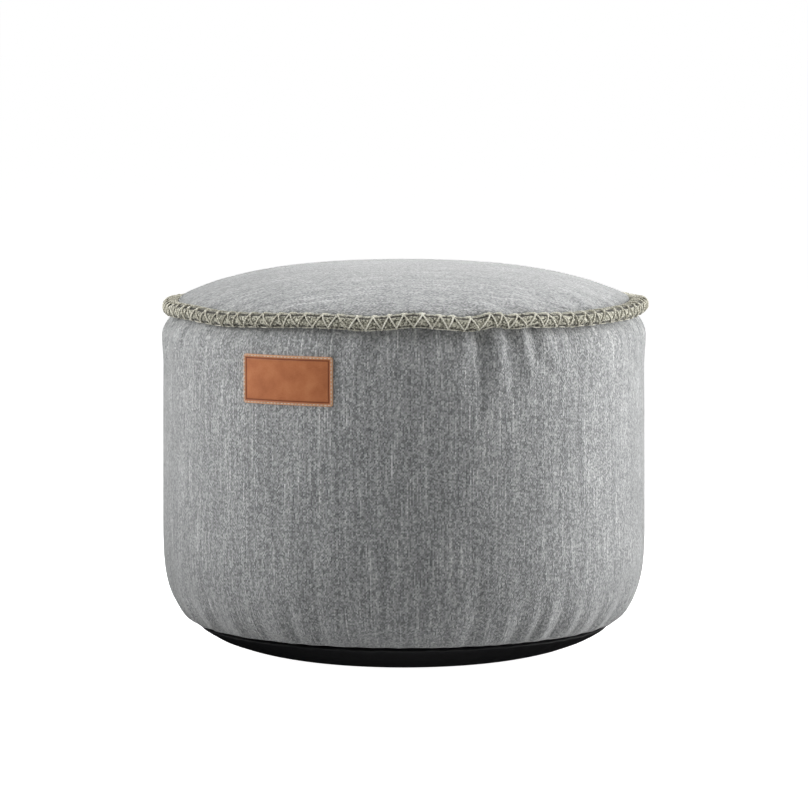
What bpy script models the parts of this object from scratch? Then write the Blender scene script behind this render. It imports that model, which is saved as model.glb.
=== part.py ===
"""Bean bag footstool: a filled drum of grey canvas with a crowned top, a rolled and yarn-bound edge
round the top seam, a near-black base cloth and a leather label.

Metres, +Z up. The origin is the middle of the flat foot, and the front faces -Y.
An angle round the drum is 0 at the front and grows towards +X.
"""

import math
import random
from collections import namedtuple

import bmesh
import bpy
import numpy as np

MM = 0.001
GAP = 0.3 * MM  # clearance between sewn neighbours

# ---- driving sizes -------------------------------------------------------------------------
DRUM_RADIUS = 0.250  # the side panel at its widest
WIDEST_HEIGHT = 0.140  # where that is
FOOT_RADIUS = 0.113  # the flat spot that the footstool stands on
BASE_SEAM_TURN = math.radians(38.5)  # how far round the lower corner the base seam lies
SHOULDER_RADIUS = 0.2487  # the side panel where it starts to draw in to the top seam
SHOULDER_HEIGHT = 0.329
SEAM_HEIGHT = 0.3585  # the top seam, before its waves
NECK_RADIUS = 0.2326  # the two panels where the top seam holds them
NECK_DROP = 0.005  # from the top seam down to where the side panel leaves the neck
NECK_RISE = 0.0065  # from the top seam up to the crown's rim
CROWN_HEIGHT = 0.404

BINDING_REACH = 0.2515  # the outermost radius of the rolled binding
BINDING_HEIGHT = 0.016

LABEL_WIDTH = 0.100
LABEL_HEIGHT = 0.050
LABEL_THICKNESS = 0.002
LABEL_CORNER = 0.003
LABEL_ANGLE = math.radians(-27.4)  # the label's middle, left of the front
LABEL_MIDDLE_HEIGHT = 0.301

# Exponents of the drum's curves
CORNER_IN = 1.13  # lower corner: how fast it draws in
CORNER_DOWN = 0.549  # lower corner: how fast it falls
SHOULDER_IN = 1.87  # shoulder: how late it turns in
CROWN_FLAT = 2.71  # crown: how flat its middle is
CROWN_EDGE = 0.786  # crown: how steep its rim is
BINDING_SQUARENESS = 0.8  # binding: 1 is an ellipse, less is squarer

# ---- how finely the solids are cut ------------------------------------------------------------
SEGMENTS = 180
CORNER_RINGS = 8
CORNER_CROWDING = 1.6  # draws the lower corner's rings up its slope, so that they lie evenly
SIDE_RING_HEIGHTS = (0.190, 0.240, 0.270, 0.292, 0.311)
SHOULDER_STEPS = (0.0, 0.35, 0.62, 0.84, 1.0)
CROWN_RING_SHARES = (1.0, 0.965, 0.91, 0.82, 0.68, 0.5, 0.27)
BASE_RINGS = 5
BINDING_POINTS = 10
LABEL_STRIPS = 12

# ---- waves and folds ----------------------------------------------------------------------------
# Waves of the top seam: it dips and lifts where the sewing has pulled it.
Wave = namedtuple("Wave", "angle_deg rise_mm width_deg")
SEAM_WAVES = (
    Wave(-50.0, -1.9, 8.0),
    Wave(-24.0, 1.5, 8.0),
    Wave(-9.0, -2.2, 3.6),
    Wave(2.0, 3.6, 4.4),
    Wave(14.4, -3.7, 3.6),
    Wave(20.7, 3.2, 1.9),
    Wave(25.8, -1.4, 1.8),
    Wave(29.5, 1.2, 2.4),
    Wave(42.0, -0.7, 6.0),
)
WAVE_SPACING_DEG = 15.0  # between waves on the part that the front doesn't show
WAVE_RISE_MM = 1.3
WAVE_WIDTH_DEG = 6.0

# Folds that hang from the top seam: ridges stand out and troughs fall in, and fade downwards.
Fold = namedtuple("Fold", "angle_deg rise_mm width_deg reach_mm")
SEAM_FOLDS = (
    Fold(-58.0, 1.1, 2.6, 60),
    Fold(-53.5, -1.0, 2.2, 55),
    Fold(-48.8, 1.3, 2.4, 55),
    Fold(-43.5, -0.9, 2.2, 45),
    Fold(-26.4, 0.9, 2.4, 32),
    Fold(-18.9, 1.2, 2.0, 34),
    Fold(-15.6, -1.8, 1.7, 78),
    Fold(-12.6, 1.4, 1.8, 78),
    Fold(-9.0, -1.6, 2.2, 55),
    Fold(-3.4, 1.0, 2.2, 50),
    Fold(4.0, -0.9, 2.2, 48),
    Fold(10.5, -1.6, 2.4, 62),
    Fold(16.3, 3.0, 2.2, 80),
    Fold(20.6, -3.4, 1.9, 84),
    Fold(24.3, 2.5, 1.7, 76),
    Fold(27.2, -2.2, 1.6, 74),
    Fold(30.2, 1.2, 1.8, 62),
    Fold(33.4, -1.6, 1.9, 62),
    Fold(38.0, 0.9, 2.4, 50),
    Fold(42.5, -0.9, 2.4, 48),
)
SEAM_FOLD_SPACING_DEG = 5.2
SEAM_FOLD_RISE_MM = 1.5
SEAM_FOLD_WIDTH_DEG = 2.2
SEAM_FOLD_REACH_MM = 55

# Puckers that stand up from the base seam, where the side panel is gathered to the smaller base.
BASE_PUCKERS = (
    Fold(-45.0, 1.5, 2.2, 46),
    Fold(-37.1, 1.8, 2.2, 50),
    Fold(-27.2, 2.2, 2.3, 54),
    Fold(-19.6, 2.0, 2.1, 52),
    Fold(-10.7, 2.4, 2.3, 56),
    Fold(-1.4, 1.8, 2.2, 50),
    Fold(7.8, 1.9, 2.2, 52),
    Fold(16.8, 2.7, 2.2, 60),
    Fold(26.9, 2.2, 2.1, 56),
    Fold(33.4, 1.7, 1.9, 50),
    Fold(39.7, 1.9, 1.9, 52),
    Fold(46.7, 1.6, 2.0, 46),
)
PUCKER_SPACING_DEG = 8.4
PUCKER_RISE_MM = 2.2
PUCKER_WIDTH_DEG = 2.2
PUCKER_REACH_MM = 52

# Creases in the crown beside the top seam.
CROWN_CREASES = (
    Fold(-52.0, -0.5, 5.0, 45),
    Fold(-30.0, 0.5, 4.0, 40),
    Fold(2.5, 0.9, 2.4, 34),
    Fold(7.0, -0.7, 2.4, 34),
    Fold(20.0, 0.9, 3.6, 40),
    Fold(28.5, -1.3, 3.2, 52),
    Fold(35.0, 1.1, 3.0, 56),
    Fold(41.0, -0.9, 3.2, 50),
)
CREASE_SPACING_DEG = 12.0
CREASE_RISE_MM = 0.7
CREASE_WIDTH_DEG = 4.0
CREASE_REACH_MM = 42

CALM_MARGIN = 0.012  # how far past the label the cloth is held flat by its stitching
HELD_BY_SEAM = 0.012  # how far out from the neck the folds reach their full height
SEED = 7


def carried_round(front, spacing_deg, sizes, rng):
    """Adds to the rows of front others of the same kind round the rest of the drum, about
    spacing_deg apart, with rises of either sign and sizes a little uneven."""
    rows = list(front)
    kind = type(front[0])
    start = front[-1].angle_deg
    span = 360.0 + front[0].angle_deg - start
    count = round(span / spacing_deg)
    for i in range(1, count):
        angle = start + span * (i + rng.uniform(-0.25, 0.25)) / count
        rise = sizes[0] * rng.uniform(0.5, 1.0) * (1 if i % 2 else -1)
        others = [size * rng.uniform(0.8, 1.25) for size in sizes[1:]]
        rows.append(kind(angle, rise, *others))
    return rows


def all_ridges(rows):
    """The same rows with every rise outward, as gathers are."""
    return [row._replace(rise_mm=abs(row.rise_mm)) for row in rows]


RNG = random.Random(SEED)
ALL_WAVES = carried_round(SEAM_WAVES, WAVE_SPACING_DEG, (WAVE_RISE_MM, WAVE_WIDTH_DEG), RNG)
ALL_SEAM_FOLDS = carried_round(
    SEAM_FOLDS,
    SEAM_FOLD_SPACING_DEG,
    (SEAM_FOLD_RISE_MM, SEAM_FOLD_WIDTH_DEG, SEAM_FOLD_REACH_MM),
    RNG,
)
ALL_PUCKERS = all_ridges(
    carried_round(
        BASE_PUCKERS,
        PUCKER_SPACING_DEG,
        (PUCKER_RISE_MM, PUCKER_WIDTH_DEG, PUCKER_REACH_MM),
        RNG,
    )
)
ALL_CREASES = carried_round(
    CROWN_CREASES,
    CREASE_SPACING_DEG,
    (CREASE_RISE_MM, CREASE_WIDTH_DEG, CREASE_REACH_MM),
    RNG,
)


def bell(angle, centre_deg, width_deg):
    """1 at the centre and falling away over the width on either side, the short way round."""
    away = np.degrees(angle) - centre_deg
    away = (away + 180.0) % 360.0 - 180.0
    return np.exp(-((away / width_deg) ** 2))


def fade(distance, reach):
    """1 at distance 0, easing to 0 at the reach."""
    share = np.clip(distance / reach, 0.0, 1.0)
    return 1.0 - share * share * (3.0 - 2.0 * share)


def seam_wave(angle):
    """How far the top seam stands above or below its even height."""
    return sum(w.rise_mm * MM * bell(angle, w.angle_deg, w.width_deg) for w in ALL_WAVES)


def folds_at(rows, angle, distance):
    """The sum of all folds at an angle and at a distance from the seam that they spring from."""
    return sum(
        f.rise_mm * MM * bell(angle, f.angle_deg, f.width_deg) * fade(distance, f.reach_mm * MM)
        for f in rows
    )


# ---- the drum's outline, as (radius, height) -------------------------------------------------


def corner_point(turn):
    """The lower corner: turn 0 is the widest ring and a quarter turn is the edge of the foot."""
    radius = FOOT_RADIUS + (DRUM_RADIUS - FOOT_RADIUS) * math.cos(turn) ** CORNER_IN
    height = WIDEST_HEIGHT * (1.0 - math.sin(turn) ** CORNER_DOWN)
    return radius, height


def shoulder_point(step):
    """The shoulder, from step 0 where it leaves the straight side to step 1 at the neck."""
    radius = NECK_RADIUS + (SHOULDER_RADIUS - NECK_RADIUS) * (1.0 - step**SHOULDER_IN)
    height = SHOULDER_HEIGHT + (SEAM_HEIGHT - NECK_DROP - SHOULDER_HEIGHT) * step
    return radius, height


def crown_point(share):
    """The crown, from share 1 at the neck to share 0 on the axis."""
    rim = SEAM_HEIGHT + NECK_RISE
    lift = (1.0 - share**CROWN_FLAT) ** CROWN_EDGE
    return NECK_RADIUS * share, rim + (CROWN_HEIGHT - rim) * lift


def straight_side_radius(height):
    """The nearly straight side between the widest ring and the shoulder."""
    share = (height - WIDEST_HEIGHT) / (SHOULDER_HEIGHT - WIDEST_HEIGHT)
    return DRUM_RADIUS + (SHOULDER_RADIUS - DRUM_RADIUS) * share


BASE_SEAM_RADIUS, BASE_SEAM_HEIGHT = corner_point(BASE_SEAM_TURN)


# ---- how the cloth is pushed off that outline ---------------------------------------------------


def label_calm(angle, height):
    """0 under the label, where the cloth lies flat, rising to 1 past a margin round it."""
    along = np.abs(angle - LABEL_ANGLE) * DRUM_RADIUS - LABEL_WIDTH / 2
    up = np.abs(height - LABEL_MIDDLE_HEIGHT) - LABEL_HEIGHT / 2
    past = np.maximum(along, up)
    return 1.0 - fade(past, CALM_MARGIN)


def shape_side(angle, radius, height):
    """Side panel: folds under the top seam, puckers over the base seam, and the seam's waves."""
    loose = 1.0 - fade(radius - NECK_RADIUS, HELD_BY_SEAM)  # the neck itself is held round
    under_seam = SEAM_HEIGHT - NECK_DROP - height
    push = folds_at(ALL_SEAM_FOLDS, angle, under_seam) * label_calm(angle, height) * loose
    push = push + folds_at(ALL_PUCKERS, angle, height - BASE_SEAM_HEIGHT) * (radius > 0)
    carried = fade(under_seam, SEAM_HEIGHT - LABEL_MIDDLE_HEIGHT - LABEL_HEIGHT / 2)
    lift = seam_wave(angle) * carried * (radius > 0)
    return radius + push, height + lift


def shape_crown(angle, radius, height):
    """Top panel: creases beside the seam, fading inwards, and the seam's waves at its rim."""
    from_rim = NECK_RADIUS - radius
    on_top = (height > SEAM_HEIGHT + NECK_RISE + GAP) & (radius > 0)
    creases = folds_at(ALL_CREASES, angle, from_rim) * on_top
    carried = fade(from_rim, NECK_RADIUS / 2)
    return radius, height + creases + seam_wave(angle) * carried * (radius > 0)


def shape_binding(angle, radius, height):
    """Binding: it follows the seam's waves."""
    return radius, height + seam_wave(angle)


def unshaped(angle, radius, height):
    """The base panel stays a turned dish."""
    return radius, height


# ---- making the solids ------------------------------------------------------------------------


def start_empty():
    for obj in list(bpy.data.objects):
        bpy.data.objects.remove(obj, do_unlink=True)


def material(name, colour, roughness, metallic=0.0):
    """A Principled material of one colour."""
    made = bpy.data.materials.new(name)
    made.use_nodes = True
    shader = made.node_tree.nodes["Principled BSDF"]
    shader.inputs["Base Color"].default_value = (*colour, 1.0)
    shader.inputs["Roughness"].default_value = roughness
    shader.inputs["Metallic"].default_value = metallic
    return made


def finish_object(name, bm, finish, parent):
    """Turns a bmesh into a smooth-shaded object under the parent."""
    bmesh.ops.recalc_face_normals(bm, faces=bm.faces)
    mesh = bpy.data.meshes.new(name)
    bm.to_mesh(mesh)
    bm.free()
    mesh.shade_smooth()
    mesh.set_sharp_from_angle(angle=math.radians(50))
    mesh.materials.append(finish)
    obj = bpy.data.objects.new(name, mesh)
    bpy.context.collection.objects.link(obj)
    obj.parent = parent
    return obj


def turned_solid(name, outline, shape, finish, parent, closed=False):
    """Spins an outline of (radius, height) points once round Z, merges its poles, and then
    pushes every point by shape(angle, radius, height), which gives its new radius and height.
    A closed outline is a ring's section; an open one starts and ends on the axis."""
    bm = bmesh.new()
    points = [bm.verts.new((0.0, -radius, height)) for radius, height in outline]
    edges = [bm.edges.new(pair) for pair in zip(points, points[1:])]
    if closed:
        edges.append(bm.edges.new((points[-1], points[0])))
    bmesh.ops.spin(
        bm,
        geom=points + edges,
        cent=(0, 0, 0),
        axis=(0, 0, 1),
        angle=2 * math.pi,
        steps=SEGMENTS,
        use_merge=True,
    )
    bmesh.ops.remove_doubles(bm, verts=bm.verts, dist=0.01 * MM)

    places = np.array([vert.co for vert in bm.verts])
    radius = np.hypot(places[:, 0], places[:, 1])
    radius[radius < 0.01 * MM] = 0.0
    angle = np.arctan2(places[:, 0], -places[:, 1])
    radius, height = shape(angle, radius, places[:, 2])
    for vert, a, r, z in zip(bm.verts, angle, radius, height):
        vert.co = (r * math.sin(a), -r * math.cos(a), z)
    return finish_object(name, bm, finish, parent)


# ---- the pieces ------------------------------------------------------------------------------


def top_panel(finish, parent):
    """The crowned disc, filled down to the plane of the top seam."""
    crown = [crown_point(share) for share in CROWN_RING_SHARES]
    outline = [(0.0, SEAM_HEIGHT + GAP / 2), (NECK_RADIUS, SEAM_HEIGHT + GAP / 2)]
    outline += crown
    outline.append((0.0, CROWN_HEIGHT))
    return turned_solid("top_panel", outline, shape_crown, finish, parent)


def side_panel(finish, parent):
    """The drum, filled from the base seam to the top seam."""
    last = CORNER_RINGS - 1
    turns = [BASE_SEAM_TURN * (1 - i / last) ** CORNER_CROWDING for i in range(CORNER_RINGS)]
    outline = [(0.0, BASE_SEAM_HEIGHT + GAP / 2)]
    outline += [corner_point(turn) for turn in turns]
    outline[1] = (BASE_SEAM_RADIUS, BASE_SEAM_HEIGHT + GAP / 2)
    outline += [(straight_side_radius(height), height) for height in SIDE_RING_HEIGHTS]
    outline += [shoulder_point(step) for step in SHOULDER_STEPS]
    outline += [(NECK_RADIUS, SEAM_HEIGHT - GAP / 2), (0.0, SEAM_HEIGHT - GAP / 2)]
    return turned_solid("side_panel", outline, shape_side, finish, parent)


def base_panel(finish, parent):
    """The dished base cloth with its flat foot, filled up to the base seam."""
    quarter = math.pi / 2
    step = (quarter - BASE_SEAM_TURN) / BASE_RINGS
    turns = [BASE_SEAM_TURN + step * i for i in range(BASE_RINGS + 1)]
    outline = [(0.0, BASE_SEAM_HEIGHT - GAP / 2)]
    outline += [corner_point(turn) for turn in turns]
    outline[1] = (BASE_SEAM_RADIUS, BASE_SEAM_HEIGHT - GAP / 2)
    outline[-1] = (FOOT_RADIUS, 0.0)
    outline.append((0.0, 0.0))
    return turned_solid("base_panel", outline, unshaped, finish, parent)


def seam_binding(finish, parent):
    """The roll round the top seam. Its section is an oval with a flat root on the neck."""
    root = NECK_RADIUS + GAP
    half_width = (BINDING_REACH - root) / 2
    middle = root + half_width
    outline = []
    for i in range(BINDING_POINTS):
        turn = math.pi + math.pi * (2 * i + 1) / BINDING_POINTS
        outward = math.copysign(abs(math.cos(turn)) ** BINDING_SQUARENESS, math.cos(turn))
        upward = math.copysign(abs(math.sin(turn)) ** BINDING_SQUARENESS, math.sin(turn))
        outline.append((middle + half_width * outward, SEAM_HEIGHT + BINDING_HEIGHT / 2 * upward))
    outline[0] = (root, outline[0][1])
    outline[-1] = (root, outline[-1][1])
    return turned_solid("seam_binding", outline, shape_binding, finish, parent, closed=True)


def leather_label(finish, parent):
    """A flat plate with round corners, cut into strips and bent round the drum."""
    bm = bmesh.new()
    bmesh.ops.create_cube(bm, size=1.0)
    for vert in bm.verts:
        vert.co.x *= LABEL_WIDTH
        vert.co.y *= LABEL_THICKNESS
        vert.co.z *= LABEL_HEIGHT
    corners = [edge for edge in bm.edges if abs(edge.verts[0].co.y - edge.verts[1].co.y) > MM]
    bmesh.ops.bevel(bm, geom=corners, offset=LABEL_CORNER, segments=3, profile=0.5, affect="EDGES")
    for i in range(1, LABEL_STRIPS):
        along = LABEL_WIDTH * (i / LABEL_STRIPS - 0.5)
        bmesh.ops.bisect_plane(
            bm,
            geom=bm.verts[:] + bm.edges[:] + bm.faces[:],
            plane_co=(along, 0, 0),
            plane_no=(1, 0, 0),
        )
    for vert in bm.verts:
        height = LABEL_MIDDLE_HEIGHT + vert.co.z
        inner = straight_side_radius(height) + GAP
        radius = inner + LABEL_THICKNESS / 2 - vert.co.y
        angle = LABEL_ANGLE + vert.co.x / DRUM_RADIUS
        vert.co = (radius * math.sin(angle), -radius * math.cos(angle), height)
    bmesh.ops.triangulate(bm, faces=bm.faces)
    return finish_object("leather_label", bm, finish, parent)


def build():
    start_empty()
    footstool = bpy.data.objects.new("footstool", None)
    bpy.context.collection.objects.link(footstool)
    canvas = material("grey_canvas", (0.34, 0.345, 0.35), 0.92)
    base_cloth = material("black_base_cloth", (0.012, 0.012, 0.013), 0.7)
    yarn = material("bound_edge", (0.38, 0.35, 0.27), 0.9)
    leather = material("tan_leather", (0.42, 0.15, 0.06), 0.55)
    top_panel(canvas, footstool)
    side_panel(canvas, footstool)
    base_panel(base_cloth, footstool)
    seam_binding(yarn, footstool)
    leather_label(leather, footstool)


build()
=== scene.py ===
"""Looks of the bean bag footstool: a filled drum of grey melange canvas with a crowned top, a rolled
edge overcast with cream yarn, a near-black base cloth and a plain tan leather label.

Metres, +Z up. The footstool stands on the origin and its front faces -Y. An angle round the drum is
0 at the front and grows towards +X. The sections follow the footstool as it is put together.
"""

import math
from functools import partialmethod

import bmesh
import bpy
import numpy as np
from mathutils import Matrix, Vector


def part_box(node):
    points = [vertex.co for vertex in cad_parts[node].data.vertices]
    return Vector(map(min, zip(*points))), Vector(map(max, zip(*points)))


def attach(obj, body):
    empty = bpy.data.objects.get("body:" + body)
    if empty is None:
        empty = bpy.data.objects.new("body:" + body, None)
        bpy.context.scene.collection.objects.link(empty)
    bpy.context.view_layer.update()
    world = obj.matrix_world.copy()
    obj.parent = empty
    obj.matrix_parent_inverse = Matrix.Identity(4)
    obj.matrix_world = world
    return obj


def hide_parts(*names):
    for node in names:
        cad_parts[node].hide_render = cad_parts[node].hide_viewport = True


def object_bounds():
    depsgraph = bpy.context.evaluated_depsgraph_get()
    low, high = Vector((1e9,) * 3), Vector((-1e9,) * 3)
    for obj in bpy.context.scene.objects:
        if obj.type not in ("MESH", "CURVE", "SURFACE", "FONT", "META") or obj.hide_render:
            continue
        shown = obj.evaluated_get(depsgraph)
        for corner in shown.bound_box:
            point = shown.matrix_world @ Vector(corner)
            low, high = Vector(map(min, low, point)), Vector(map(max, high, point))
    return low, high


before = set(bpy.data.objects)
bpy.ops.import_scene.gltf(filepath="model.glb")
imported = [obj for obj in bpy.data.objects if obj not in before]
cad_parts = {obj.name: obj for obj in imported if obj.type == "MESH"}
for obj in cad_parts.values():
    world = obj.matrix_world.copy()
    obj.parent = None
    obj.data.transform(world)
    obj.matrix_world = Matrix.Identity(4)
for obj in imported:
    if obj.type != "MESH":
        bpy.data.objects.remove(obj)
cad_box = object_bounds()


# ---- the camera ----
# A long lens from the front, a little above the seat, looking slightly down.

CAMERA_PLACE = Vector((0.0, -4.261, 0.6578))
CAMERA_AIM = Vector((0.0, 0.0, 0.2562))
LENS_MM = 183.9
SENSOR_MM = 36.0

camera = bpy.data.objects.new("camera", bpy.data.cameras.new("camera"))
camera.data.lens = LENS_MM
camera.data.sensor_width = SENSOR_MM
camera.location = CAMERA_PLACE
camera.rotation_euler = (CAMERA_AIM - CAMERA_PLACE).to_track_quat("-Z", "Y").to_euler()
bpy.context.collection.objects.link(camera)
bpy.context.scene.camera = camera


# ---- the base cloth ----
# A dished disc of smooth, tightly woven near-black cloth, sewn to the side strip just above the
# floor and pressed flat where the footstool stands on it.

MM = 0.001
FULL_TURN = 2.0 * math.pi
DRUM_RADIUS = 0.250
CAD_COLUMNS = 180
OUTLINE_ROWS = 600
BASE_COLUMNS = 360
BASE_ROWS = 30
BASE_CAPS = (0.4, 0.95)  # shares of the end's radius at which its flat closing has rings
BASE_SEAM_TUCK = 2.2 * MM  # how far both cloths roll in to their seam
BASE_RIPPLE = 0.5 * MM  # ripples that the gathered side strip pulls into the base cloth
BASE_RIPPLES_ROUND = 46
BASE_THREAD = 0.9 * MM
BASE_BLACK = (0.0045, 0.0045, 0.0050)


def cad_rings(node):
    """The turned CAD piece as a list of columns, each a table [point, (radius, height)]. Its merged
    points are sorted into columns by their angle, and up each column by their slope seen from the
    axis at a pivot."""
    merged = bmesh.new()
    merged.from_mesh(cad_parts[node].data)
    bmesh.ops.remove_doubles(merged, verts=merged.verts, dist=0.01 * MM)
    points = np.array([vert.co for vert in merged.verts])
    merged.free()
    radius = np.hypot(points[:, 0], points[:, 1])
    low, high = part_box(node)
    pivot = {"side_panel": (low.z + high.z) / 2, "base_panel": high.z}.get(node, low.z)
    slope = np.arctan2(points[:, 2] - pivot, radius)
    angle = np.arctan2(points[:, 0], -points[:, 1])
    column = np.round(angle / FULL_TURN * CAD_COLUMNS).astype(int) % CAD_COLUMNS
    column[radius < MM] = -1
    table = np.stack([radius, points[:, 2]], axis=-1)
    order = np.argsort(slope)
    return [table[order[column[order] == one]] for one in range(CAD_COLUMNS)]


def outline(node, pole=None):
    """The mean outline of a turned CAD piece as fine rows of (way along it, radius, height): the
    mean of its full columns, with the pole's point at the end if it has one, eased between."""
    columns = cad_rings(node)
    longest = max(len(column) for column in columns)
    rings = np.mean([column for column in columns if len(column) == longest], axis=0)
    if pole is not None:
        rings = np.append(rings, [[0.0, pole]], axis=0)
    fine = eased(rings, np.linspace(0, len(rings) - 1, OUTLINE_ROWS), wraps=False)
    steps = np.hypot(*np.diff(fine, axis=0).T)
    return np.column_stack([np.append(0.0, np.cumsum(steps)), fine])


def on_outline(rows, way):
    """The radius, the height and the outward normal (radial, upward) at ways along an outline."""
    radius = np.interp(way, rows[:, 0], rows[:, 1])
    height = np.interp(way, rows[:, 0], rows[:, 2])
    turning_in = np.interp(way, rows[:, 0], np.gradient(rows[:, 1], rows[:, 0]))
    rising = np.interp(way, rows[:, 0], np.gradient(rows[:, 2], rows[:, 0]))
    return radius, height, rising, -turning_in


def eased(table, place, wraps):
    """Reads a table between its rows: a cubic through the four nearest rows, which passes through
    every row and keeps its slope. A table that wraps goes on from its last row to its first."""
    count = len(table)
    row = np.floor(place).astype(int)
    if not wraps:
        row = np.minimum(row, count - 2)
    t = (place - row).reshape(-1, *(1,) * (table.ndim - 1))
    steps = [row + k for k in (-1, 0, 1, 2)]
    steps = [step % count if wraps else np.clip(step, 0, count - 1) for step in steps]
    before, here, after, beyond = (table[step] for step in steps)
    line = here + (after - here) * t
    bend_in = (2 * here - before - after) * t * (1 - t) ** 2
    bend_out = (2 * after - here - beyond) * t * t * (1 - t)
    return line + (bend_in + bend_out) / 2


def fade(distance, reach):
    """1 at distance 0, easing to 0 at the reach: 1 less the smooth step of their ratio."""
    share = np.clip(distance / reach, 0.0, 1.0)
    return 1.0 - share * share * (3.0 - 2.0 * share)


def ripple(angle, waves, seed):
    """Uneven waves round the drum, about between -1 and 1: 1.6 times the mean of a few sines whose
    counts lie round the given one, with seeded phases."""
    rng = np.random.default_rng(seed)
    counts = np.unique(np.round(waves * np.array([0.57, 0.83, 1.0, 1.21, 1.64])))
    phases = rng.uniform(0, FULL_TURN, len(counts))
    return 1.6 * sum(np.sin(n * angle + p) for n, p in zip(counts, phases)) / len(counts)


def angles_round(columns):
    """The angles of evenly spaced columns round the drum."""
    return np.arange(columns) / columns * FULL_TURN


def on_drum(angle, radius, height):
    """Points from an angle round the drum, a distance from its axis and a height."""
    parts = np.broadcast_arrays(radius * np.sin(angle), -radius * np.cos(angle), height)
    return np.stack(parts, axis=-1)


def pairs(first, second):
    """Two tables, each repeated to their common shape, as one table of pairs."""
    return np.stack(np.broadcast_arrays(first, second), axis=-1)


def corners(table):
    """The four entries round each cell of a table [row, column, ...], in turn."""
    return np.stack([table[:-1, :-1], table[:-1, 1:], table[1:, 1:], table[1:, :-1]], axis=2)


def numbered(rows, columns):
    """The point numbers of a table whose last column joins its first, which is given again."""
    numbers = np.arange(rows * columns).reshape(rows, columns)
    return np.column_stack([numbers, numbers[:, 0]])


def turned_faces(count, columns):
    """The faces of a closed body of rings, counted upwards or inwards so that they point out: quads
    join each ring to the next, and a comb of quads across closes the first and the last ring."""
    around = corners(numbered(count, columns)).reshape(-1, 4)
    k = np.arange(columns // 2 - 1)
    comb = np.stack([k, k + 1, columns - 2 - k, columns - 1 - k], -1)
    return np.concatenate([around, comb[:, ::-1], comb + (count - 1) * columns])


def new_mesh(name, points, faces, cloth_place=None, **values):
    """A mesh. cloth_place is where each face corner lies on the flat cloth, in metres, and becomes
    the UV map. Each further value is given for every point."""
    mesh = bpy.data.meshes.new(name)
    mesh.from_pydata(points.reshape(-1, 3), [], faces if isinstance(faces, list) else faces.tolist())
    if cloth_place is not None:
        mesh.uv_layers.new(name="cloth").data.foreach_set("uv", cloth_place.ravel())
    for value_name, value in values.items():
        layer = mesh.attributes.new(value_name, "FLOAT", "POINT").data
        layer.foreach_set("value", value.astype(np.float32).ravel())
    return mesh


def shown(mesh, finish, levels=0):
    """Puts a finished mesh in the scene as a smooth-shaded piece of the footstool's one body."""
    mesh.validate()
    mesh.shade_smooth()
    mesh.materials.append(finish)
    piece = bpy.data.objects.new(mesh.name, mesh)
    bpy.context.collection.objects.link(piece)
    if levels:
        rounding = piece.modifiers.new("rounding", "SUBSURF")
        rounding.levels = rounding.render_levels = levels
    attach(piece, "root")
    return piece


def turned_piece(name, rings, cloth_place, finish, levels=1):
    """A closed body from rings of points [ring, column, xyz]. cloth_place [ring, column + 1, 2] is
    where each point lies on the flat cloth."""
    count, columns = rings.shape[:2]
    faces = turned_faces(count, columns)
    around = corners(cloth_place).reshape(-1, 2)
    closings = cloth_place[:, :-1].reshape(-1, 2)[faces[(count - 1) * columns :].ravel()]
    return shown(new_mesh(name, rings, faces, np.concatenate([around, closings])), finish, levels)


def capped(rings, low_shares, high_shares):
    """Adds flat rings inside a body's ends, at shares of the end ring's radius and its mean height."""
    low, high = rings[0], rings[-1]
    below = [low * (share, share, 0) + (0, 0, low[:, 2].mean()) for share in low_shares]
    above = [high * (share, share, 0) + (0, 0, high[:, 2].mean()) for share in high_shares]
    return np.stack([*below, *rings, *above])


class Wire:
    """One socket of a finish's shader. Sums written with wires add the Math nodes that they need."""

    def __init__(self, finish, socket):
        self.finish = finish
        self.socket = socket

    def math(self, operation, *others):
        values = dict(enumerate((self, *others)))
        return self.finish.node("ShaderNodeMath", {"operation": operation}, values)

    __add__ = __radd__ = partialmethod(math, "ADD")
    __sub__ = partialmethod(math, "SUBTRACT")
    __mul__ = __rmul__ = partialmethod(math, "MULTIPLY")
    floor = partialmethod(math, "FLOOR")
    cosine = partialmethod(math, "COSINE")
    larger = partialmethod(math, "MAXIMUM")
    smaller = partialmethod(math, "MINIMUM")


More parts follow.
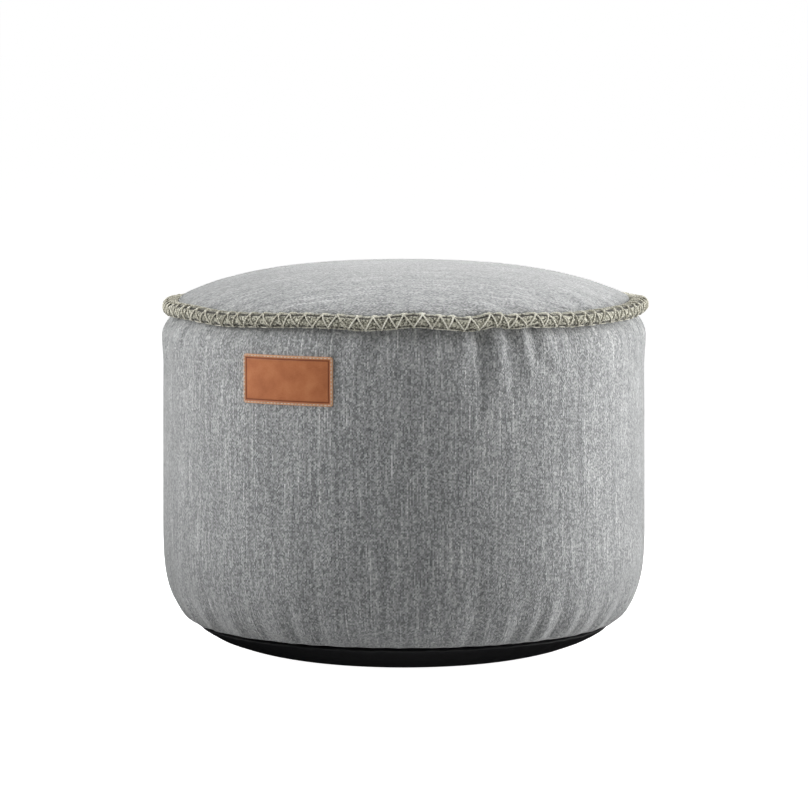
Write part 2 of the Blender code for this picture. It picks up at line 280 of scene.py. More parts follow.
class Finish:
    """A material on a Principled shader. Values that are the same all over are set on its sockets."""

    def __init__(self, name, **sockets):
        self.material = bpy.data.materials.new(name)
        self.material.use_nodes = True
        self.tree = self.material.node_tree
        self.shader = self.tree.nodes["Principled BSDF"]
        for socket, value in sockets.items():
            self.feed(self.shader.inputs[socket.replace("_", " ")], value)

    def feed(self, socket, value):
        """Links a wire to a socket, or sets the socket to a number, a colour or a vector."""
        if isinstance(value, Wire):
            self.tree.links.new(value.socket, socket)
        elif isinstance(value, tuple) and socket.type == "RGBA":
            socket.default_value = (*value, 1.0)
        else:
            socket.default_value = value

    def node(self, kind, settings=None, inputs=None, output=0):
        """Adds one node: its settings first, then a value or a wire for each named socket."""
        made = self.tree.nodes.new(kind)
        for name, value in (settings or {}).items():
            setattr(made, name, value)
        for name, value in (inputs or {}).items():
            self.feed(made.inputs[name], value)
        return Wire(self, made.outputs[output])

    def ramp(self, value, stops):
        """A colour ramp with the given (place, colour) stops, read at a value."""
        wire = self.node("ShaderNodeValToRGB", None, {"Fac": value})
        elements = wire.socket.node.color_ramp.elements
        while len(elements) < len(stops):
            elements.new(0.5)
        for element, (place, colour) in zip(elements, stops):
            element.position = place
            element.color = (*colour, 1.0)
        return wire

    def cloth_place(self):
        """The two places along the flat cloth, in metres, from the piece's UV map."""
        uv = self.node("ShaderNodeUVMap", {"uv_map": "cloth"})
        parts = self.node("ShaderNodeSeparateXYZ", None, {"Vector": uv})
        return parts, Wire(self, parts.socket.node.outputs["Y"])

    def spot(self, x, y, z=0.0):
        """A vector from three values."""
        return self.node("ShaderNodeCombineXYZ", None, {"X": x, "Y": y, "Z": z})

    def noise(self, where, scale=1.0, detail=2.0):
        """Fractal noise round 0.5 at a vector."""
        return self.node("ShaderNodeTexNoise", None, {"Vector": where, "Scale": scale, "Detail": detail})

    def chance(self, x, y):
        """A fixed random number from 0 to 1 for each whole-numbered pair."""
        where = {"Vector": self.spot(x, y)}
        return self.node("ShaderNodeTexWhiteNoise", {"noise_dimensions": "2D"}, where)

    def blend(self, share, first, second):
        """A colour between two, by a share."""
        return self.node("ShaderNodeMix", {"data_type": "RGBA"}, {0: share, 6: first, 7: second}, 2)

    def attribute(self, name):
        """The piece's own attribute, as a number."""
        return self.node("ShaderNodeAttribute", {"attribute_name": name}, None, "Fac")

    def bump(self, height, depth, strength=1.0):
        """Raises the surface by a height from 0 to 1, times a depth in metres."""
        values = {"Height": height, "Distance": depth, "Strength": strength}
        self.feed(self.shader.inputs["Normal"], self.node("ShaderNodeBump", None, values))

    def colour(self, colour):
        self.feed(self.shader.inputs["Base Color"], colour)


def black_base_finish():
    """Near-black plain weave of fine threads, with dusty patches and a slight sheen."""
    finish = Finish("black_base_cloth", Roughness=0.6, Specular_IOR_Level=0.25)
    u, v = finish.cloth_place()
    threads = (u * (FULL_TURN / BASE_THREAD)).cosine() * (v * (FULL_TURN / BASE_THREAD)).cosine()
    dust = finish.noise(finish.spot(u, v), scale=38.0, detail=4.0)
    finish.colour(finish.blend(dust, BASE_BLACK, tuple(1.9 * c for c in BASE_BLACK)))
    finish.bump(threads * 0.5 + dust, 0.15 * MM, 0.5)
    return finish.material


def base_cloth():
    """Rings from the closed foot up the dish to the seam, round its tuck and in to the closed top.
    The dish follows the CAD piece's outline and ripples a little near the seam."""
    rows = outline("base_panel")
    length = rows[-1, 0]
    way = np.linspace(0.0, length, BASE_ROWS)[:, None]
    radius, height, _, _ = on_outline(rows, way)
    angle = angles_round(BASE_COLUMNS)
    to_seam = length - way
    radius = radius - BASE_SEAM_TUCK * fade(to_seam, 2.5 * BASE_SEAM_TUCK)
    ripples = BASE_RIPPLE * (1 + ripple(angle, BASE_RIPPLES_ROUND, 3)) * fade(to_seam, 0.6 * length)
    height = height - ripples * (1 - fade(way, 0.3 * length))
    rings = capped(on_drum(angle, radius, height), BASE_CAPS, BASE_CAPS[::-1])
    shares = np.array(BASE_CAPS)[:, None]
    flat = np.concatenate([shares * radius[0], radius[0] + way, shares[::-1] * radius[-1]])
    closing = np.append(angle, FULL_TURN)
    place = pairs(flat * np.sin(closing), flat * np.cos(closing))
    return turned_piece("base_cloth", rings, place, black_base_finish())


base = base_cloth()
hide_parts("base_panel")


# ---- the side strip ----
# A strip of coarse melange canvas, light and dark grey yarns with slubs that run up the strip,
# closed to a drum, eased on to the smaller base cloth and gathered at the top seam.

SIDE_COLUMNS = 720
SIDE_ROWS = 108
SIM_COLUMNS = 240
SIM_ROWS = 46
SEAM_CROWDING = 0.6  # 1 spreads the rows evenly, less draws them towards both seams
STRIP_EASE = 0.45  # how much of the spare cloth at the seams is taken up by gathers
SIDE_MOVE = 2.0 * MM  # the furthest that the filling pushes the cloth from its sewn shape
FILL_PRESSURE = 4.0
FILL_FRAMES = 20
FILL_QUALITY = 5
CANVAS_BENDING = 0.15
LABEL_CALM = 12.0 * MM  # the cloth lies flat under the label and this far past it

# Folds that hang from the top seam, then folds that stand up from the base seam: the angle in
# degrees, the rise outwards in mm, the half width in degrees and the reach from the seam in mm.
TOP_FOLDS = (
    (-60.5, -1.8, 2.2, 100), (-56.3, 1.8, 1.8, 100), (-52.2, -1.8, 1.8, 100), (-46.0, 1.6, 2.4, 84),
    (-38.2, 1.6, 2.0, 46), (-34.2, -1.3, 1.7, 46), (-23.2, 1.6, 1.8, 46), (-20.4, -1.2, 1.2, 46),
    (-14.8, -1.8, 1.7, 100), (-10.3, 2.4, 1.9, 134), (-6.2, -2.4, 1.8, 84), (-3.0, 1.6, 1.5, 84),
    (1.8, -2.0, 2.2, 151), (7.5, 1.2, 2.2, 100), (13.6, 3.1, 1.7, 176), (17.4, -3.9, 1.5, 184),
    (21.8, 2.9, 1.6, 151), (25.2, -2.7, 1.4, 134), (28.6, 2.0, 1.4, 117), (31.4, -1.6, 1.4, 100),
    (34.8, 2.1, 1.9, 100), (42.0, -1.3, 2.3, 92), (47.0, 1.2, 2.0, 76), (52.5, 1.6, 2.0, 84),
    (56.2, -1.3, 1.7, 84),
)
BASE_FOLDS = (
    (-58.5, 2.3, 2.0, 88), (-54.0, -1.6, 1.9, 80), (-46.2, 2.5, 2.0, 104), (-37.6, -2.8, 1.9, 96),
    (-31.5, 2.0, 1.6, 88), (-27.8, -1.6, 1.2, 80), (-24.8, 1.6, 1.3, 80), (-20.8, -2.5, 1.3, 96),
    (-16.8, 2.0, 1.6, 80), (-12.2, -1.5, 1.4, 80), (-9.6, 1.5, 1.3, 120), (-4.5, -2.1, 1.6, 120),
    (-1.8, 2.0, 1.4, 96), (2.6, -2.0, 1.8, 120), (7.5, 1.3, 1.5, 80), (12.4, 1.8, 1.6, 88),
    (16.9, -3.3, 1.2, 136), (20.5, 1.5, 1.3, 72), (25.3, 2.1, 1.5, 104), (28.3, -2.0, 1.1, 88),
    (31.6, 1.6, 1.1, 80), (34.0, -2.0, 1.0, 80), (36.9, 2.0, 1.2, 88), (40.6, -2.3, 1.4, 88),
    (45.2, 1.6, 1.7, 88), (51.0, 2.0, 2.0, 80), (56.0, -1.5, 1.7, 72),
)
FOLD_SPACING = 4.6  # degrees between the folds that the front doesn't show
SEAM_HOLD = 16 * MM  # a seam holds the folds down over this way
BASE_SEAM_GIVE = 0.14  # the share of a fold's rise that is left right at the base seam
SEAM_PUCKER = 0.12 * MM  # small puckers between the stitches of both seams
PUCKERS_ROUND = 170
TOP_PUCKER_REACH = 30 * MM
BASE_PUCKER_REACH = 22 * MM
SEAM_WAVE_REACH = 45 * MM  # how far down the strip the top seam's waves carry
SHOULDER_FULL = 1.6 * MM  # how much fuller the shoulder is in front than at the sides
SHOULDER_DOWN = 11 * MM  # where it is fullest, below the top seam
SHOULDER_HEIGHT = 9 * MM
SHOULDER_SPREAD = 60  # degrees to each side of the front

WARP = 1.4 * MM  # the threads' spacing
WEFT = 1.6 * MM
SPECK = 1.8 * MM  # how far a patch of fibres of one grey runs along a warp thread


def canvas_finish():
    """Melange canvas. Along each warp thread the grey changes in specks, in slubs a few millimetres
    long and in streaks a few centimetres long, a few of them pale. Warp and weft lie over and under
    in turn: a thread's height is its rounded section plus its wave."""
    finish = Finish("grey_canvas", Roughness=0.95, Sheen_Weight=0.5, Sheen_Roughness=0.45)
    u, v = finish.cloth_place()
    across, along = u * (1 / WARP), v * (1 / WEFT)
    warp, weft = across.floor(), along.floor()
    speck = finish.chance(warp, (v * (1 / SPECK) + finish.chance(warp, 3.0) * 9.0).floor())
    slub = finish.noise(finish.spot(warp * 7.31, v * 110.0), detail=1.0)
    streak = finish.noise(finish.spot(warp * 3.17, v * 16.0), detail=1.0)
    pale = (finish.noise(finish.spot(warp * 9.73, v * 14.0), detail=0.0) - 0.62).larger(0.0)
    band = finish.noise(finish.spot(u * 110.0, v * 7.0), detail=1.0)
    fibre = finish.noise(finish.spot(u * 1500.0, v * 650.0), detail=1.0)
    tone = speck * 0.38 + slub * 0.30 + streak * 0.32 + band * 0.22 + fibre * 0.2 + pale - 0.242
    warp_height = ((across - warp - 0.5) * math.pi).cosine() + ((along + warp) * math.pi).cosine() * 0.5
    weft_height = ((along - weft - 0.5) * math.pi).cosine() - ((across + weft) * math.pi).cosine() * 0.5
    height = warp_height.larger(weft_height) * 0.6
    stops = [
        (0.10, (0.075, 0.078, 0.080)),
        (0.35, (0.175, 0.181, 0.183)),
        (0.60, (0.345, 0.352, 0.352)),
        (0.90, (0.660, 0.665, 0.660)),
    ]
    # the colour is a little darker where the threads lie low: painted shade in the gaps of the weave
    finish.colour(finish.ramp(tone + height * 0.1 - 0.05, stops))
    proud = finish.noise(finish.spot(u * 760.0, v * 420.0, 3.0), detail=1.0)
    finish.bump(height * 0.15 + fibre * 0.4 + proud * 0.7, 1.0 * MM, 1.0)
    return finish.material


CANVAS = canvas_finish()


def all_round(folds, seed):
    """The rows of folds with others of the same kind round the rest of the drum, evenly spaced but
    for a seeded stray, rising and falling in turn by about as much as the listed ones."""
    rng = np.random.default_rng(seed)
    last, gap = folds[-1][0], 360 + folds[0][0] - folds[-1][0]
    count = round(gap / FOLD_SPACING)
    _, usual_rise, _, usual_reach = np.abs(folds).mean(axis=0)
    rows = list(folds)
    for i in range(1, count):
        angle = last + gap * (i + rng.uniform(-0.25, 0.25)) / count
        rise = usual_rise * rng.uniform(0.7, 1.3) * (1 if i % 2 else -1)
        rows.append((angle, rise, rng.uniform(1.3, 2.2), usual_reach * rng.uniform(0.75, 1.25)))
    return rows


def bell(distance, width):
    """1 at distance 0, falling away over the width: the exponential of less the squared ratio."""
    return np.exp(-((distance / width) ** 2))


def apart(angle, centre):
    """How far an angle lies from another round the drum, within half a turn either way."""
    return (angle - centre + math.pi) % FULL_TURN - math.pi


def bell_round(angle, centre, width):
    """A bell round the drum, with its centre and width in degrees."""
    return bell(apart(angle, math.radians(centre)), math.radians(width))


def folded(folds, angle, distance, at_seam):
    """The sum of the folds at an angle and at a way from their seam: each is a bell across, fades
    out over its reach, and has a share of its rise at the seam, which holds the cloth."""
    total = 0.0
    for centre, rise, width, reach in folds:
        total = total + rise * MM * bell_round(angle, centre, width) * fade(distance, reach * MM)
    return total * (1 - (1 - at_seam) * fade(distance, SEAM_HOLD))


ALL_TOP_FOLDS = all_round(TOP_FOLDS, 31)
ALL_BASE_FOLDS = all_round(BASE_FOLDS, 32)

# The label's place, from its solid, and how much wider and shorter it shows than that
LABEL_WIDER = 1.0 * MM
LABEL_SHORTER = 1.2 * MM
label_low, label_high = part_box("leather_label")
label_points = np.array([vert.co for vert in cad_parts["leather_label"].data.vertices])
label_angles = np.arctan2(label_points[:, 0], -label_points[:, 1])
LABEL_ANGLE = (label_angles.min() + label_angles.max()) / 2
LABEL_WIDTH = (label_angles.max() - label_angles.min()) * DRUM_RADIUS + LABEL_WIDER
LABEL_HEIGHT = label_high.z - label_low.z - LABEL_SHORTER
LABEL_MIDDLE = (label_high.z + label_low.z) / 2
LABEL_SEAT = np.hypot(label_points[:, 0], label_points[:, 1]).min()

# Where the top seam lies higher or lower than the drawn one: angle in degrees, rise in mm, and half
# width in degrees
SEAM_RISES = ((82, 2.5, 16), (49, -1.6, 17), (-42, -1.4, 13))
ROLL_SLIMNESS = 0.92  # the yarn pulls the roll a little flatter than it is drawn
ROLL_WAVES = 0.6  # the roll's stiffness evens out the seam's waves to this share
ROLL_TUCK = 0.6 * MM  # and draws its middle line in by this
roll_table = np.array(cad_rings("seam_binding"))
roll_low, roll_high = roll_table.min(axis=1), roll_table.max(axis=1)
roll_middle = (roll_low + roll_high) / 2
roll_level = roll_middle[:, 1].mean()
roll_middle[:, 1] = roll_level + ROLL_WAVES * (roll_middle[:, 1] - roll_level)
roll_middle[:, 0] -= ROLL_TUCK
roll_half = ((roll_high - roll_low) / 2).mean(axis=0) * (1.0, ROLL_SLIMNESS)


def seam_middle(angle):
    """The middle line of the roll round the top seam: (radius, height) at an angle."""
    middle = eased(roll_middle, np.ravel(angle / FULL_TURN * len(roll_middle)), wraps=True)
    middle = middle.reshape(*np.shape(angle), 2)
    for centre, rise, width in SEAM_RISES:
        middle[..., 1] += rise * MM * bell_round(angle, centre, width)
    return middle


def seam_wave(angle):
    """How far the top seam stands above its mean height at an angle."""
    return seam_middle(angle)[..., 1] - roll_level


def under_label(angle, height):
    """0 under the label, where its stitches hold the cloth flat, rising to 1 past a margin."""
    along = np.abs(angle - LABEL_ANGLE) * DRUM_RADIUS - LABEL_WIDTH / 2
    past = np.maximum(along, np.abs(height - LABEL_MIDDLE) - LABEL_HEIGHT / 2)
    return 1 - fade(past, LABEL_CALM)


def crowded(count, power):
    """Shares from 0 to 1 that lie closer together towards both ends, as a blend of even steps and a
    cosine, by the power."""
    even = np.linspace(0.0, 1.0, count)
    return even * power + (0.5 - 0.5 * np.cos(math.pi * even)) * (1 - power)


def filled(name, shape, spare, held_rows, reach):
    """Fills a sewn panel with beads: the cloth, whose threads have the lengths of a cut panel that
    is wider by the spare cloth, is pushed out evenly from inside with the held rows fixed, until it
    settles. Gives how far each point moved, as (outwards, up), less its ring's mean move, and never
    further than the reach."""
    angle, _, radius, height = shape
    rings, cut = on_drum(angle, radius, height), on_drum(angle, radius + spare, height)
    count, columns = rings.shape[:2]
    mesh = new_mesh(name, rings, turned_faces(count, columns)[: (count - 1) * columns])
    cloth = bpy.data.objects.new(name, mesh)
    bpy.context.collection.objects.link(cloth)
    cloth.shape_key_add(name="Basis")
    threads = cloth.shape_key_add(name="threads")
    threads.data.foreach_set("co", cut.astype(np.float32).ravel())
    sewn = cloth.vertex_groups.new(name="sewn")
    numbers = np.arange(count * columns).reshape(count, columns)
    sewn.add(numbers[held_rows].ravel().tolist(), 1.0, "REPLACE")
    fill = cloth.modifiers.new("fill", "CLOTH")
    fill.settings.vertex_group_mass = "sewn"
    fill.settings.rest_shape_key = threads
    fill.settings.use_pressure = True
    fill.settings.uniform_pressure_force = FILL_PRESSURE
    fill.settings.quality = FILL_QUALITY
    fill.settings.bending_stiffness = CANVAS_BENDING
    fill.settings.effector_weights.gravity = 0.0
    fill.collision_settings.use_collision = False
    fill.point_cache.frame_start = 1
    fill.point_cache.frame_end = FILL_FRAMES
    for step in range(1, FILL_FRAMES + 1):
        bpy.context.scene.frame_set(step)
    settled = cloth.evaluated_get(bpy.context.evaluated_depsgraph_get())
    places = np.empty(count * columns * 3, np.float32)
    settled.data.vertices.foreach_get("co", places)
    bpy.context.scene.frame_set(1)
    bpy.data.objects.remove(cloth)
    bpy.data.meshes.remove(mesh)
    moved = places.reshape(rings.shape).astype(float) - rings
    away = rings[..., :2] / np.maximum(np.hypot(rings[..., 0], rings[..., 1]), MM)[..., None]
    moved = np.stack([(moved[..., :2] * away).sum(axis=-1), moved[..., 2]], axis=-1)
    moved -= moved.mean(axis=1, keepdims=True)
    length = np.linalg.norm(moved, axis=-1, keepdims=True)
    return moved * np.tanh(length / reach) * reach / np.maximum(length, 1e-9)


def finer(table, rows, columns):
    """Reads a table [row, column, ...] round the drum at more rows and columns."""
    by_row = eased(table, np.linspace(0, len(table) - 1, rows), wraps=False)
    place = np.arange(columns) / columns * table.shape[1]
    return eased(by_row.transpose(1, 0, 2), place, wraps=True).transpose(1, 0, 2)


def side_shape(rows_wanted, columns):
    """The sewn strip as (angle, way up, radius, height): the CAD outline, tucked in at the base seam,
    carried up and down by the top seam's waves, with both rows of folds, the seams' puckers and the
    fuller shoulder in front."""
    rows = outline("side_panel")
    length = rows[-1, 0]
    angle = angles_round(columns)
    up = crowded(rows_wanted, SEAM_CROWDING)[:, None] * length
    radius, height, radial, upward = on_outline(rows, up)
    down = length - up
    out = folded(ALL_TOP_FOLDS, angle, down, 0.0) + folded(ALL_BASE_FOLDS, angle, up, BASE_SEAM_GIVE)
    puckers = SEAM_PUCKER * ripple(angle, PUCKERS_ROUND, 33)
    out = out + puckers * (fade(down, TOP_PUCKER_REACH) + fade(up, BASE_PUCKER_REACH))
    out = out * under_label(angle, height)
    front = bell_round(angle, 0.0, SHOULDER_SPREAD)
    out = out + SHOULDER_FULL * front * bell(down - SHOULDER_DOWN, SHOULDER_HEIGHT)
    out = out - BASE_SEAM_TUCK * fade(up, 2.2 * BASE_SEAM_TUCK)
    wave = seam_wave(angle) * fade(down, SEAM_WAVE_REACH)
    return angle, up, radius + out * radial, height + out * upward + wave


def side_strip():
    """Rings from the closed underside, out to the base seam, round its tuck, up the drum and in over
    the shoulder to the top seam. The cut strip is straight, so at both seams it has cloth to spare."""
    angle, up, radius, height = side_shape(SIDE_ROWS, SIDE_COLUMNS)
    shape = side_shape(SIM_ROWS, SIM_COLUMNS)
    spare = (DRUM_RADIUS - shape[2]) * STRIP_EASE
    moved = filled("side_filling", shape, spare, [0, 1, -3, -2, -1], SIDE_MOVE)
    moved = finer(moved, SIDE_ROWS, SIDE_COLUMNS) * under_label(angle, height)[..., None]
    radius, height = radius + moved[..., 0], height + moved[..., 1]
    rings = capped(on_drum(angle, radius, height), (0.3, 0.9), (0.95, 0.3))
    # the cloth's places on the flat closings, which lie inside the cushion
    up = np.concatenate([[[-0.2], [-0.02]], up, up[-1:] + 0.01, up[-1:] + 0.2])
    place = pairs(np.append(angle, FULL_TURN) * DRUM_RADIUS, up)
    return turned_piece("side_strip", rings, place, CANVAS, levels=0)


side = side_strip()
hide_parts("side_panel")


# ---- the top panel ----
# A disc of the same canvas, crowned by the filling. The disc has cloth to spare at its rim, where
# the seam draws it in, so soft creases run inwards from the seam.

TOP_COLUMNS = 360
TOP_ROWS = 56
TOP_SIM_COLUMNS = 200
TOP_SIM_ROWS = 36
RIM_CROWDING = 0.8
DISC_EASE = 0.4
TOP_MOVE = 1.8 * MM
RIM_GIVE = 0.5  # the share of a crease's rise that is left right at the seam
RIM_PUCKER = 0.6 * SEAM_PUCKER
RIM_PUCKERS_ROUND = 150
RIM_PUCKER_REACH = 25 * MM
RIM_WAVE_REACH = 40 * MM
CROWN_MIDDLE = 0.012  # the share of the way over the crown that a last flat ring closes

# Creases that run in from the seam: angle in degrees, rise in mm, half width in degrees, reach in mm.
CROWN_CREASES = (
    (-52.0, -0.8, 4.0, 63), (-30.0, 0.8, 3.6, 56), (-8.0, -0.7, 3.0, 42), (2.5, 1.5, 2.4, 48),
    (7.0, -1.2, 2.4, 48), (20.0, 1.4, 3.0, 56), (27.5, -1.9, 2.4, 73), (33.0, 1.7, 2.4, 78),
    (40.0, -1.4, 3.0, 70),
)
ALL_CREASES = all_round(CROWN_CREASES, 41)


def top_shape(rows_wanted, columns):
    """The sewn disc as (angle, way in, radius, height): the CAD outline from the neck to the middle
    of the crown, carried up and down at its rim by the seam's waves, with its creases."""
    rows = outline("top_panel", pole=cad_box[1].z)
    length = rows[-1, 0]
    angle = angles_round(columns)
    way = crowded(rows_wanted, RIM_CROWDING)[:, None] * (1 - CROWN_MIDDLE) * length
    radius, height, radial, upward = on_outline(rows, way)
    puckers = RIM_PUCKER * ripple(angle, RIM_PUCKERS_ROUND, 42) * fade(way, RIM_PUCKER_REACH)
    out = folded(ALL_CREASES, angle, way, RIM_GIVE) + puckers
    wave = seam_wave(angle) * fade(way, RIM_WAVE_REACH)
    return angle, length - way, radius + out * radial, height + out * upward + wave


def top_panel():
    """Rings from the closed underside up the neck and over the crown to its middle. The cut panel is
    a flat disc whose radius is the way over the crown, so its rim has cloth to spare."""
    angle, flat, radius, height = top_shape(TOP_ROWS, TOP_COLUMNS)
    shape = top_shape(TOP_SIM_ROWS, TOP_SIM_COLUMNS)
    spare = np.maximum(shape[1] - shape[2], 0.0) * DISC_EASE
    moved = finer(filled("top_filling", shape, spare, [0, 1, 2, -1], TOP_MOVE), TOP_ROWS, TOP_COLUMNS)
    radius, height = radius + moved[..., 0], height + moved[..., 1]
    rings = capped(on_drum(angle, radius, height), (0.3, 0.95), ())
    closing = np.append(angle, FULL_TURN)
    flat = np.concatenate([0.3 * flat[:1], 0.95 * flat[:1], flat])
    return turned_piece("top_disc", rings, pairs(flat * np.cos(closing), flat * np.sin(closing)), CANVAS)


top = top_panel()
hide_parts("top_panel")


# ---- the rolled edge ----
# The edges of the strip and the disc, turned out at the top seam and rolled together to a soft oval
# roll. The overcast yarn draws it in at every stitch, so it puffs a little between the stitches.

STITCHES = 94
ROLL_COLUMNS_PER_STITCH = 16
ROLL_POINTS = 48
ROLL_SQUARENESS = 0.8
ROLL_SHIFT = 1.6 * MM  # the roll lies a little off the drum's middle, to the right
ROLL_SINK = 0.4 * MM  # the roll and its yarn lie this much inside the drawn roll's surface
ROLL_PUFF = 0.3 * MM
STITCH_UNEVEN = 0.16  # how far a stitch strays, as a share of the stitches' spacing
TOP_TIP_TURN = math.radians(68)  # turn round the roll's section: 0 outwards, a quarter turn up
LOW_TIP_TURN = math.radians(-44)
INNER_TIP_TURN = math.radians(205)
TIP_DENT = 1.3 * MM
LEG_DENT = 0.5 * MM
DENT_WIDTH = 1.6 * MM
LEG_PAST = 0.1  # how far past its tips' turns a leg still pulls
HOLE_TURN = math.radians(30)  # the row of holes inside the tips of the stitches
CHAIN_HOLE_TURN = math.radians(54)  # the line between the tips, in front of the chain, sunk in and painted dark as shadow
LOW_HOLE_TURN = math.radians(-38)
HOLE_WIDTH = 1.9 * MM  # half widths and half heights, as bells
HOLE_HEIGHT = 2.3 * MM
LOW_HOLE_HEIGHT = 1.9 * MM
LINE_HEIGHT = 1.7 * MM
LINE_GAP = 1.8 * MM  # a chain stitch covers the dark line this far round each tip
HOLE_DEPTH = 0.7  # how far a hole sinks in, as a share of a tip's dent

stitch_rng = np.random.default_rng(11)
stitch_angles = np.arange(STITCHES) + stitch_rng.uniform(-STITCH_UNEVEN, STITCH_UNEVEN, STITCHES)
TOP_TIPS = stitch_angles / STITCHES * FULL_TURN
NEXT_TIPS = np.append(TOP_TIPS[1:], TOP_TIPS[0] + FULL_TURN)
LOW_TIPS = TOP_TIPS + (NEXT_TIPS - TOP_TIPS) * stitch_rng.uniform(0.38, 0.62, STITCHES)

# How deep each stitch's holes sink and how dark their painted shade is: in the line under the chain, inside
# the V's tip, and below it
CHAIN_PULL = stitch_rng.uniform(0.5, 1.4, STITCHES)
TIP_HOLES = stitch_rng.uniform(0.4, 1.3, STITCHES)
LOW_HOLES = stitch_rng.uniform(0.3, 1.2, STITCHES)

# Stretches round the drum where the roll and its yarn are coloured darker, or lighter where the
# amount is less than nothing: the angle in degrees, how much darker, half width in degrees
DARKER_STRETCHES = ((-90, 1.0, 16), (-47, 0.9, 20), (6, -0.4, 26), (50, 0.4, 14), (85, 1.0, 16))
LEG_SHADE = 0.25  # how dark the painted shade on the roll is along a leg, beside a hole
ROLL_DARKENING = 0.13  # how much darker the roll is coloured in those stretches


def darkening_round(angle):
    """How much darker the roll is coloured at an angle: the sum of the stretches' bells."""
    return sum(how_dark * bell_round(angle, centre, width) for centre, how_dark, width in DARKER_STRETCHES)


def squared(wave):
    """A sine or cosine pushed outwards, for a section squarer than an ellipse."""
    return np.sign(wave) * np.abs(wave) ** ROLL_SQUARENESS


def roll_point(angle, turn, lift):
    """A point on the roll: its squared oval section, at a turn round it, about the middle line that
    the CAD ring has at that angle, sunk in a little and lifted off the surface by a length."""
    middle = seam_middle(angle)
    lift = lift - ROLL_SINK
    radius = middle[..., 0] + roll_half[0] * squared(np.cos(turn)) + lift * np.cos(turn)
    height = middle[..., 1] + roll_half[1] * squared(np.sin(turn)) + lift * np.sin(turn)
    return on_drum(angle, radius, height) + (ROLL_SHIFT, 0.0, 0.0)


def leg_share(turn, low_turn):
    """How far down its leg the yarn is at a turn, by height, so that a leg looks straight."""
    top = squared(np.sin(TOP_TIP_TURN))
    return (top - squared(np.sin(turn))) / (top - squared(np.sin(low_turn)))


def stitch_pull(angle, turn):
    """How far the yarn draws the roll in: a bell round each tip, a shallower one along each leg, by
    the way from the leg's line on the surface, and the holes: a line in front of the chain, a
    broken one along the low tips, and one hole under each top tip, above and below the middle."""
    section = roll_half.mean()

    def away_from(places):
        nearest = np.abs(apart(angle[..., None], places)).min(axis=-1)
        return nearest * (roll_middle[:, 0].mean() + roll_half[0])

    def dent(tips, tip_turn):
        return bell(np.hypot(away_from(tips), (turn - tip_turn) * section), DENT_WIDTH)

    def row(row_turn, height):
        return bell((turn - row_turn) * section, height)

    tip_pull = np.maximum(dent(TOP_TIPS, TOP_TIP_TURN), dent(LOW_TIPS, LOW_TIP_TURN))
    share = leg_share(np.clip(turn, LOW_TIP_TURN, TOP_TIP_TURN), LOW_TIP_TURN)[..., None]
    to_legs = [away_from(tips + share * (LOW_TIPS - tips)) for tips in (TOP_TIPS, NEXT_TIPS)]
    inside = (turn < TOP_TIP_TURN + LEG_PAST) & (turn > LOW_TIP_TURN - LEG_PAST)
    leg_pull = bell(np.minimum(*to_legs), DENT_WIDTH) * inside
    nearest = np.abs(apart(angle[..., None], TOP_TIPS)).argmin(axis=-1)
    at_tip = bell(away_from(TOP_TIPS), HOLE_WIDTH)
    between = 1 - bell(away_from(TOP_TIPS), LINE_GAP)
    broken = np.clip(0.5 + ripple(angle, 330, 9), 0.0, 1.0)
    # the holes sink the roll in, and the roll's finish also paints them dark as shade
    holes = [
        between * row(CHAIN_HOLE_TURN, LINE_HEIGHT) * CHAIN_PULL[nearest],
        broken * row(LOW_TIP_TURN, LINE_HEIGHT),
        at_tip * row(HOLE_TURN, HOLE_HEIGHT) * TIP_HOLES[nearest],
        at_tip * row(LOW_HOLE_TURN, LOW_HOLE_HEIGHT) * LOW_HOLES[nearest],
    ]
    return tip_pull, leg_pull, np.max(holes, axis=0)


def rolled_edge_finish():
    """The canvas edge under a dense beige overlock: fine threads across the roll, with painted shade
    in the holes of the yarn's stitches and beside their legs, and darker in some stretches round the drum."""
    finish = Finish("bound_edge", Roughness=0.92, Sheen_Weight=0.15, Sheen_Roughness=0.5)
    u, v = finish.cloth_place()
    thread = (u * (1 / (1.2 * MM)) + finish.noise(finish.spot(u * 120.0, v * 260.0)) * 1.6).floor()
    speck = finish.chance(thread, (v * (1 / (1.4 * MM)) + finish.chance(thread, 5.0) * 9.0).floor())
    fleck = finish.noise(finish.spot(u * 620.0, v * 620.0), detail=2.0)
    tone = speck * 0.45 + fleck * 0.75 - 0.1
    stops = [
        (0.30, (0.060, 0.058, 0.044)),
        (0.45, (0.205, 0.200, 0.156)),
        (0.56, (0.345, 0.336, 0.268)),
        (0.74, (0.640, 0.625, 0.520)),
    ]
    cloth = finish.ramp(tone, stops)
    hole = (finish.attribute("pull") * 1.7).smaller(1.0)
    # painted shade: the holes and the roll beside the legs, plus the darker stretches, blend the cloth
    # towards near-black
    finish.colour(finish.blend(hole, cloth, (0.022, 0.019, 0.013)))
    finish.bump(tone, 0.5 * MM, 0.7)
    return finish.material


